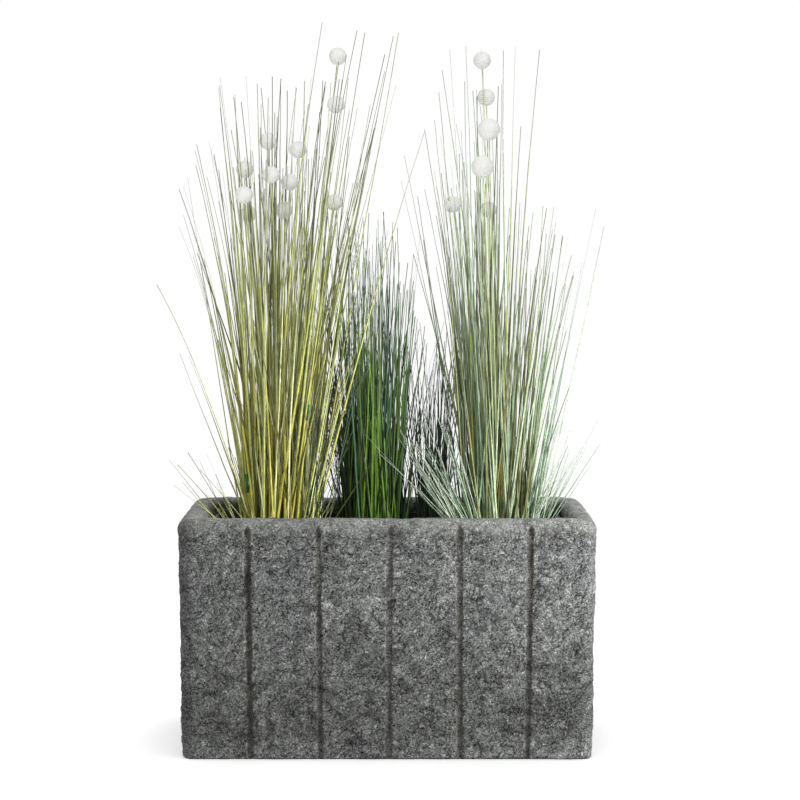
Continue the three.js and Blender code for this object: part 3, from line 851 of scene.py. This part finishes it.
# Blade colours, linear: how common, then at the root, the middle and the tip.
PALETTES = {
    ("left", "main"): [
        (5, (0.74, 0.67, 0.075), (0.54, 0.56, 0.165), (0.14, 0.16, 0.08)),
        (5, (0.66, 0.66, 0.14), (0.48, 0.54, 0.22), (0.12, 0.15, 0.08)),
        (4, (0.95, 0.94, 0.42), (0.8, 0.85, 0.47), (0.24, 0.27, 0.16)),
        (3, (0.3, 0.23, 0.03), (0.28, 0.27, 0.075), (0.09, 0.1, 0.05)),
        (3, (0.05, 0.05, 0.01), (0.1, 0.11, 0.035), (0.07, 0.08, 0.045)),
    ],
    ("left", "wiry"): [
        (3, (0.02, 0.04, 0.016), (0.034, 0.06, 0.032), (0.06, 0.085, 0.06)),
        (2, (0.09, 0.13, 0.06), (0.1, 0.14, 0.08), (0.1, 0.13, 0.1)),
    ],
    ("centre", "main"): [
        (5, (0.05, 0.112, 0.012), (0.085, 0.165, 0.04), (0.09, 0.142, 0.08)),
        (4, (0.12, 0.25, 0.01), (0.135, 0.25, 0.044), (0.115, 0.175, 0.09)),
        (5, (0.004, 0.009, 0.004), (0.014, 0.03, 0.014), (0.034, 0.052, 0.038)),
        (2, (0.24, 0.39, 0.014), (0.185, 0.33, 0.048), (0.135, 0.2, 0.1)),
        (2, (0.04, 0.125, 0.08), (0.075, 0.18, 0.112), (0.1, 0.16, 0.12)),
    ],
    ("centre", "wiry"): [
        (3, (0.016, 0.032, 0.014), (0.026, 0.048, 0.027), (0.05, 0.07, 0.05)),
        (2, (0.055, 0.1, 0.045), (0.065, 0.11, 0.062), (0.08, 0.11, 0.085)),
    ],
    ("rear", "main"): [
        (4, (0.036, 0.058, 0.032), (0.056, 0.085, 0.056), (0.085, 0.11, 0.085)),
        (3, (0.018, 0.034, 0.016), (0.032, 0.052, 0.03), (0.07, 0.09, 0.068)),
        (2, (0.11, 0.165, 0.105), (0.15, 0.205, 0.145), (0.17, 0.205, 0.16)),
    ],
    ("rear", "wiry"): [
        (3, (0.018, 0.032, 0.018), (0.032, 0.048, 0.032), (0.07, 0.09, 0.07)),
        (2, (0.065, 0.1, 0.065), (0.09, 0.12, 0.09), (0.11, 0.135, 0.11)),
    ],
    ("right", "main"): [
        (5, (0.47, 0.63, 0.4), (0.37, 0.49, 0.3), (0.17, 0.22, 0.15)),
        (4, (0.28, 0.44, 0.27), (0.27, 0.39, 0.24), (0.13, 0.18, 0.13)),
        (4, (0.7, 0.84, 0.64), (0.55, 0.66, 0.47), (0.23, 0.28, 0.2)),
        (4, (0.26, 0.28, 0.1), (0.25, 0.28, 0.12), (0.14, 0.16, 0.09)),
        (4, (0.05, 0.06, 0.016), (0.1, 0.11, 0.04), (0.12, 0.14, 0.08)),
        (0.5, (0.6, 0.64, 0.04), (0.46, 0.54, 0.1), (0.2, 0.25, 0.1)),
    ],
    ("right", "core"): [
        (5, (0.04, 0.04, 0.01), (0.09, 0.09, 0.026), (0.12, 0.13, 0.06)),
        (3, (0.2, 0.16, 0.05), (0.22, 0.2, 0.08), (0.16, 0.18, 0.095)),
        (3, (0.46, 0.54, 0.36), (0.37, 0.45, 0.28), (0.2, 0.25, 0.16)),
        (1.5, (0.08, 0.24, 0.18), (0.16, 0.3, 0.23), (0.14, 0.21, 0.16)),
    ],
    ("right", "silver"): [
        (4, (0.3, 0.42, 0.27), (0.38, 0.49, 0.36), (0.38, 0.46, 0.37)),
        (3, (0.52, 0.6, 0.42), (0.56, 0.64, 0.5), (0.48, 0.55, 0.45)),
        (3, (0.1, 0.17, 0.09), (0.16, 0.25, 0.15), (0.2, 0.28, 0.19)),
    ],
}

BLADE_SEED = 21


def plug_centre(node_name):
    """Centre of a bunch's plug, read from the lowest ring of its CAD node."""
    vertices = [vertex.co for vertex in frame["nodes"][node_name].data.vertices]
    lowest = min(co.z for co in vertices)
    ring = [co for co in vertices if co.z < lowest + 0.001]
    return Vector((sum(co.x for co in ring) / len(ring), sum(co.y for co in ring) / len(ring)))


def blade_spine(root, lean_x, lean_y, bend, length, crinkle, rng):
    """Points up a blade that leaves its root at a lean, in radians, and bends on roughly that way."""
    way = atan2(lean_y, lean_x) + rng.gauss(0, BEND_SPREAD)
    bend_x, bend_y = bend * cos(way), bend * sin(way)
    points = [root.copy()]
    step = length / BLADE_SEGMENTS
    sway_x, sway_y = 0.0, 0.0
    for k in range(1, BLADE_SEGMENTS + 1):
        share = (k - 0.5) / BLADE_SEGMENTS
        bent = share ** 1.8
        tilt_x, tilt_y = lean_x + bend_x * bent, lean_y + bend_y * bent
        sway_x = 0.5 * sway_x + rng.gauss(0, crinkle)
        sway_y = 0.5 * sway_y + rng.gauss(0, crinkle)
        points.append(points[-1] + Vector((
            (sin(tilt_x) + sway_x) * step,
            (sin(tilt_y) + sway_y) * step,
            cos(hypot(tilt_x, tilt_y)) * step,
        )))
    return points


def lifting_rooms(place):
    """
    Upright columns that a plant's blades keep out of, so that any plant can be lifted by itself: each
    is an axis, a radius, a lowest and a highest point, round the other plants' pots and pompoms.
    """
    lifts = {joint["child"]: joint["range_m"][1] for joint in frame["record"]["behaviour"]["joints"]}
    rooms = []
    for other in PLANTS:
        for name in sorted(frame["nodes"]):
            if other != place and name.startswith((f"pot_{other}", f"pompom_{other}")):
                x, y, radius = footprint(name)
                low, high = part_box(name)
                lowest, highest = low.z - lifts[f"plant_{place}"], high.z + lifts[f"plant_{other}"]
                rooms.append((Vector((x, y)), radius + ROOM_CLEARANCE, lowest, highest))
    return rooms


def within_reach(spine, rooms):
    for point in spine:
        in_x = REACH_X[0] < point.x < REACH_X[1]
        in_y = REACH_Y[0] < point.y < REACH_Y[1]
        if not (in_x and in_y and point.z < REACH_TOP):
            return False
        for axis, radius, lowest, highest in rooms:
            if lowest < point.z < highest and (point.xy - axis).length < radius:
                return False
    return True


def grow_blade(kind, centre, root_z, rooms, rng):
    """Draws one blade of a kind, again and again until it stays within reach and out of the rooms."""
    patch_x, patch_y, radius = kind.root
    mean_x, spread_x, mean_y, spread_y = kind.lean
    mean, spread_length, least, most = kind.length
    while True:
        edge = sqrt(rng.random())
        angle = rng.uniform(0, 2 * pi)
        offset = Vector((cos(angle), sin(angle))) * edge
        root = Vector((
            centre.x + patch_x + offset.x * radius,
            centre.y + patch_y + offset.y * radius,
            root_z,
        ))
        lean_x = radians(mean_x + kind.fan[0] * offset.x + rng.gauss(0, spread_x))
        lean_y = radians(mean_y + kind.fan[1] * offset.y + rng.gauss(0, spread_y))
        bend = radians(kind.bend) * rng.uniform(-0.2, 1.6)
        length = min(most, max(least, rng.gauss(mean, spread_length)))
        spine = blade_spine(root, lean_x, lean_y, bend, length, kind.crinkle, rng)
        if within_reach(spine, rooms):
            return spine


def blade_half_width(width, share):
    """Half a blade's width at a share of its length: full low down, slim but blunt at the tip."""
    return max(width * (1 - share ** 1.7) ** 0.9, BLADE_TIP_WIDTH) / 2


def blade_ring(point, half, thickness, angle):
    """Four points round a blade that is folded along its middle."""
    side = Vector((cos(angle), sin(angle), 0))
    front = Vector((-sin(angle), cos(angle), 0))
    fold = half * 0.45
    ridge = front * (thickness - fold)
    return [point - side * half, point - front * fold, point + side * half, point + ridge]


def add_sleeve(store, spine, width, facing, twist, start):
    """A short green sleeve moulded round a blade, from `start` of the way up it."""
    vertices, faces, tints = store
    first = len(vertices)
    for step in range(3):
        share = start + SLEEVE_SHARE * step / 2
        place = share * (len(spine) - 1)
        below = int(place)
        point = spine[below].lerp(spine[below + 1], place - below)
        half = blade_half_width(width, share) + 0.0004
        vertices += blade_ring(point, half, 2 * BLADE_THICKNESS, facing + twist * share)
        tints += [SLEEVE_COLOUR] * 4
    faces += tube_faces(first, 4, 3)


def add_blade(store, spine, width, facing, twist, colours, brightness):
    """Adds one folded, tapering blade as a thin closed strip around its spine."""
    vertices, faces, tints = store
    first = len(vertices)
    rings = len(spine)
    for k, point in enumerate(spine):
        share = k / (rings - 1)
        thickness = BLADE_THICKNESS * (0.35 + 0.65 * (1 - share))
        vertices += blade_ring(point, blade_half_width(width, share), thickness, facing + twist * share)
        colour = np.array([np.interp(share, (0.0, 0.5, 1.0), channel) for channel in zip(*colours)])
        # Painted shade in the fold and a painted highlight on one edge of each ring.
        tints += [colour * brightness * shade for shade in FOLD_PAINTED_LIGHT]
    faces += tube_faces(first, 4, rings)


def add_plug(store, centre, bottom):
    """The moulded plug that a bunch is set in: a low drum with a rounded top edge."""
    vertices, faces, tints = store
    first = len(vertices)
    edge = [(0.0, 0.003), (0.0008, 0.0008), (0.003, 0.0)]
    rows = [(PLUG_RADIUS, bottom)]
    rows += [(PLUG_RADIUS - inset, PLUG_TOP - drop) for inset, drop in edge]
    for radius, z in rows:
        vertices += circle(centre.x, centre.y, radius, z, PLUG_SIDES)
    tints += [PLUG_COLOUR] * (PLUG_SIDES * len(rows))
    faces += tube_faces(first, PLUG_SIDES, len(rows))


def build_grass(place):
    """Grows a plant's blades from its filling and hands each to the bunch whose plug is nearest."""
    rng = random.Random(BLADE_SEED + PLANTS.index(place))
    centre = Vector(footprint(f"pot_{place}")[:2])
    root_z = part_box(f"filling_{place}")[1].z - 0.004
    bunches = sorted(name for name in frame["nodes"] if name.startswith(f"grass_{place}_"))
    plugs = {name: plug_centre(name) for name in bunches}
    stores = {name: ([], [], []) for name in bunches}
    rooms = lifting_rooms(place)
    for kind in GROWTHS[place]:
        for _ in range(kind.count):
            spine = grow_blade(kind, centre, root_z, rooms, rng)
            name = min(bunches, key=lambda bunch: (plugs[bunch] - spine[0].xy).length)
            width = rng.uniform(*kind.width)
            facing = rng.uniform(-0.9, 0.9)
            twist = rng.uniform(-1.2, 1.2)
            palette = PALETTES[place, kind.palette]
            colours = rng.choices(palette, [shade[0] for shade in palette])[0][1:]
            add_blade(stores[name], spine, width, facing, twist, colours, rng.uniform(*BRIGHTNESS))
            long_enough = spine[-1].z - root_z > SLEEVES_FROM_LENGTH
            if rng.random() < SLEEVES_PER_BLADE.get(place, 0) and long_enough:
                add_sleeve(stores[name], spine, width, facing, twist, rng.uniform(0.03, 0.5))
    for name, store in stores.items():
        add_plug(store, plugs[name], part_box(name)[0].z)
        vertices, faces, tints = store
        tuft = make_object(f"tuft_{name[6:]}", [tuple(v) for v in vertices], faces, "blade")
        set_point_colours(tuft, "Tint", np.clip(np.array(tints), 0.0, 1.0))
        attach(tuft, f"plant_{place}")
        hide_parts(name)


for place in PLANTS:
    build_grass(place)

# ---- pompoms and their stems

STEM_SIDES = 8
STEM_ROOT_RADIUS = 0.0015
STEM_TIP_RADIUS = 0.001
POMPOM_AROUND = 72
POMPOM_RINGS = 42
TUFTS_PER_RADIUS = 6.5
TUFT_DEPTH = 0.05


def stem_centre_line(node_name):
    """Centres of the rings of a CAD stem, from root to tip."""
    levels = {}
    for vertex in frame["nodes"][node_name].data.vertices:
        levels.setdefault(round(vertex.co.z, 4), []).append(vertex.co.copy())
    return [sum(points, Vector()) / len(points) for _, points in sorted(levels.items())]


def smooth_line(points, per_span):
    """A Catmull-Rom curve through the points."""
    line = []
    for k in range(len(points) - 1):
        before = points[max(k - 1, 0)]
        after = points[min(k + 2, len(points) - 1)]
        a, b = points[k], points[k + 1]
        for step in range(per_span):
            t = step / per_span
            line.append(0.5 * (
                2 * a + (b - before) * t
                + (2 * before - 5 * a + 4 * b - after) * t ** 2
                + (3 * a - before - 3 * b + after) * t ** 3
            ))
    line.append(points[-1])
    return line


def build_stem(node_name, place):
    line = smooth_line(stem_centre_line(node_name), 4)
    vertices = []
    for k, point in enumerate(line):
        radius = STEM_ROOT_RADIUS + (STEM_TIP_RADIUS - STEM_ROOT_RADIUS) * k / (len(line) - 1)
        vertices += circle(point.x, point.y, radius, point.z, STEM_SIDES)
    faces = tube_faces(0, STEM_SIDES, len(line))
    wire = make_object(node_name.replace("stem", "wire"), vertices, faces, "stem")
    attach(wire, f"plant_{place}")
    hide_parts(node_name)


def pompom_reach(direction, shift, squash):
    """How far a pompom reaches in a direction, as a share of its radius: an uneven ball of small tufts."""
    lumps = 0.045 * noise.noise(direction * 1.6 + shift) + 0.025 * noise.noise(direction * 5 + shift)
    from_tuft = noise.voronoi(direction * TUFTS_PER_RADIUS + shift)[0][0]
    return 1.02 + lumps - TUFT_DEPTH * from_tuft - squash * direction.z ** 2


def build_pompom(node_name, place):
    rng = random.Random(node_name)
    shift = Vector([rng.uniform(0, 9) for _ in range(3)])
    squash = rng.uniform(0.0, 0.08)
    low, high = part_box(node_name)
    centre, radius = (low + high) / 2, (high.z - low.z) / 2

    def surface(polar, angle):
        flat = sin(polar)
        direction = Vector((flat * cos(angle), flat * sin(angle), -cos(polar)))
        return tuple(centre + direction * radius * pompom_reach(direction, shift, squash))

    vertices = [
        surface(pi * ring / POMPOM_RINGS, 2 * pi * k / POMPOM_AROUND)
        for ring in range(1, POMPOM_RINGS)
        for k in range(POMPOM_AROUND)
    ]
    faces = tube_faces(0, POMPOM_AROUND, POMPOM_RINGS - 1)
    ball = make_object(node_name.replace("pompom", "plush"), vertices, faces, "pompom")
    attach(ball, f"plant_{place}")
    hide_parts(node_name)
    return ball


pompoms = []
for place in ("left", "right"):
    for name in sorted(frame["nodes"]):
        if name.startswith(f"stem_{place}_"):
            build_stem(name, place)
        if name.startswith(f"pompom_{place}_"):
            pompoms.append(build_pompom(name, place))

# ---- studio

FLOOR_RADIUS = 1.5
FLOOR_SIDES = 96
CAMERA_PLACE = (0.0, -4.2, 0.977)
CAMERA_TILT_DOWN = 4.105
CAMERA_LENS = 95.7
CAMERA_SHIFT = 0.0161


def build_floor():
    """A round table top, which the overhead light covers."""
    rim = circle(0.0, 0.0, FLOOR_RADIUS, 0.0, FLOOR_SIDES)
    floor = make_object("floor", rim, [tuple(range(FLOOR_SIDES))], "floor", smooth=False)
    return floor


def area_light(name, place, aim_height, size, power, state, objects):
    """A square light that lights only some objects (INCLUDE), or all objects but those (EXCLUDE)."""
    data = bpy.data.lights.new(name, "AREA")
    data.shape = "SQUARE"
    data.size = size
    data.energy = power
    light = bpy.data.objects.new(name, data)
    light.location = place
    aim = Vector((0, 0, aim_height)) - Vector(place)
    light.rotation_euler = aim.to_track_quat("-Z", "Y").to_euler()
    light.visible_camera = False
    scene.collection.objects.link(light)
    receivers = bpy.data.collections.new(f"{name}_receivers")
    for obj in objects:
        receivers.objects.link(obj)
    for entry in receivers.collection_objects:
        entry.light_linking.link_state = state
    light.light_linking.receiver_collection = receivers


def build_world(fill, backdrop):
    """An even fill light, in front of a brighter white backdrop."""
    world = bpy.data.worlds.new("studio")
    world.use_nodes = True
    tree = world.node_tree
    lighting = tree.nodes["Background"]
    seen = tree.nodes.new("ShaderNodeBackground")
    for background, strength in ((lighting, fill), (seen, backdrop)):
        feed(tree, ((1.0, 1.0, 1.0), strength), background.inputs, ("Color", "Strength"))
    choose = tree.nodes.new("ShaderNodeMixShader")
    path = tree.nodes.new("ShaderNodeLightPath")
    feed(tree, (path.outputs["Is Camera Ray"], lighting.outputs[0], seen.outputs[0]), choose.inputs)
    tree.links.new(choose.outputs["Shader"], tree.nodes["World Output"].inputs["Surface"])
    scene.world = world


def build_lights(floor):
    build_world(fill=0.42, backdrop=1.0)
    area_light("top", (0.2, -0.3, 6.0), 0.3, 4.0, 240, "EXCLUDE", pompoms)
    area_light("key", (1.25, -0.9, 1.0), 0.5, 0.9, 51, "EXCLUDE", [floor, *pompoms])
    area_light("front", (-0.7, -3.2, 2.0), 1.1, 1.6, 45, "EXCLUDE", [floor, trough])
    area_light("rear", (-0.9, 3.0, 1.8), 0.5, 1.6, 50, "EXCLUDE", [floor, *pompoms])
    area_light("plush", (1.6, -1.2, 5.0), 1.2, 3.0, 55, "INCLUDE", pompoms)


def build_camera():
    """A product view: 4 m in front of the trough, a little above its rim, with a long lens."""
    data = bpy.data.cameras.new("camera")
    data.lens = CAMERA_LENS
    data.shift_x = CAMERA_SHIFT
    data.clip_end = 100.0
    camera = bpy.data.objects.new("camera", data)
    camera.location = CAMERA_PLACE
    camera.rotation_euler = (radians(90 - CAMERA_TILT_DOWN), 0.0, 0.0)
    scene.collection.objects.link(camera)
    scene.camera = camera


build_lights(build_floor())
build_camera()
scene.view_settings.view_transform = "Standard"
